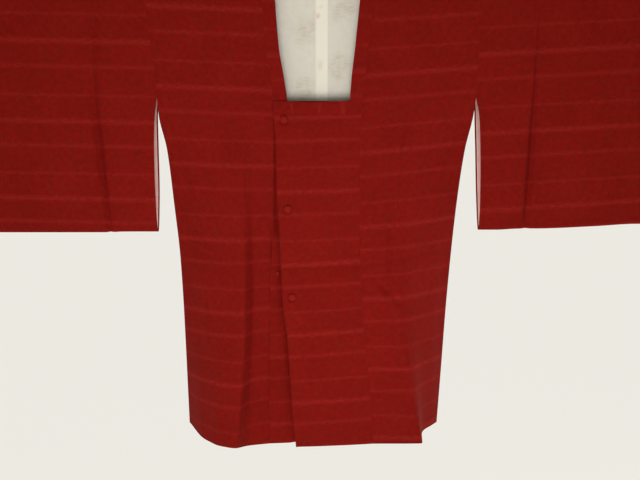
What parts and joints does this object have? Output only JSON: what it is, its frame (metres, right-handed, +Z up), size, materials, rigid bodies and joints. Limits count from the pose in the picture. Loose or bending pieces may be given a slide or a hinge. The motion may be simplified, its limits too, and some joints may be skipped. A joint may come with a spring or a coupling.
{
  "type": "michiyuki coat on a hanging rod",
  "caption": "Dark red silk crepe kimono coat with a square neck frame, wide bag sleeves and a buttoned overlapping front panel, hung on a round wooden rod by a wire hook.",
  "frame": {"origin": "where a rail holds the hanger's wire hook, at the inside of the hook's top bend", "axes": "+X to the viewer's right (the wearer's left), -Y is the coat's front, +Z up"},
  "size_m": [1.31, 0.13, 1.031],
  "materials": {
    "crepe": "matt crimson silk crepe with woven cross stripes",
    "lining": "smooth cream silk with faint grey cloud banks",
    "covered_button": "buttons covered in the same crepe",
    "beech": "turned and waxed beech",
    "wire": "bright nickel-plated steel wire"
  },
  "bodies": {
    "root": {"body_right": "crepe", "body_left": "crepe", "body_lining_right": "lining", "body_lining_left": "lining", "sleeve_right": "crepe", "sleeve_left": "crepe", "sleeve_lining_right": "lining", "sleeve_lining_left": "lining", "front_panel_under": "crepe", "front_panel_over": "crepe", "collar": "crepe", "button_top": "covered_button", "button_middle": "covered_button", "button_low": "covered_button", "snap": "covered_button", "hanger_rod": "beech", "hanger_hook": "wire"}
  },
  "joints": []
}
